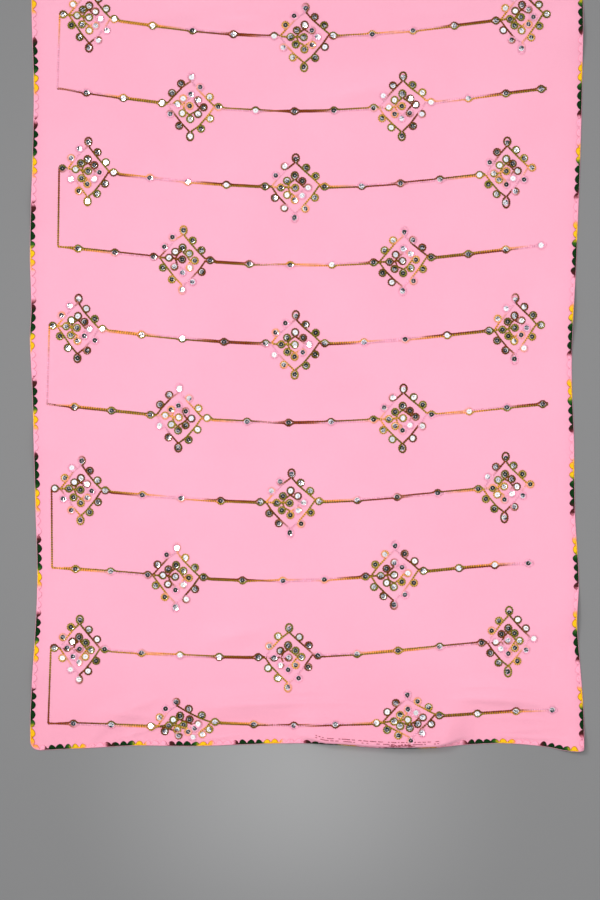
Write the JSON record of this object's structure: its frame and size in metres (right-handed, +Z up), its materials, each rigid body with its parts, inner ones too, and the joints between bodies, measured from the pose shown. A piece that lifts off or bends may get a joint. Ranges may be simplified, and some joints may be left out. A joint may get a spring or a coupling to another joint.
{
  "type": "dupatta stole",
  "caption": "Long rectangular georgette stole laid flat, with rows of embroidered sequin diamonds on running vines and a narrow scalloped lace edge.",
  "frame": {"origin": "middle of the stole, on the surface that it lies on", "axes": "+X across the cloth to its right side, +Y along it from the near end to the far end, +Z up, out of its face"},
  "size_m": [0.91, 2.2493, 0.0144],
  "materials": {
    "georgette": "soft matt crepe georgette, baby pink",
    "lace": "crocheted scallop lace, space-dyed pink, maroon, bottle green, yellow and orange",
    "thread": "variegated chain-stitch thread, brown, olive, gold and peach",
    "sequin": "polished silver sequins with a centre hole"
  },
  "bodies": {
    "root": {"cloth_panel": "georgette", "lace_near": "lace", "lace_right": "lace", "lace_far": "lace", "lace_left": "lace"}
  },
  "joints": []
}
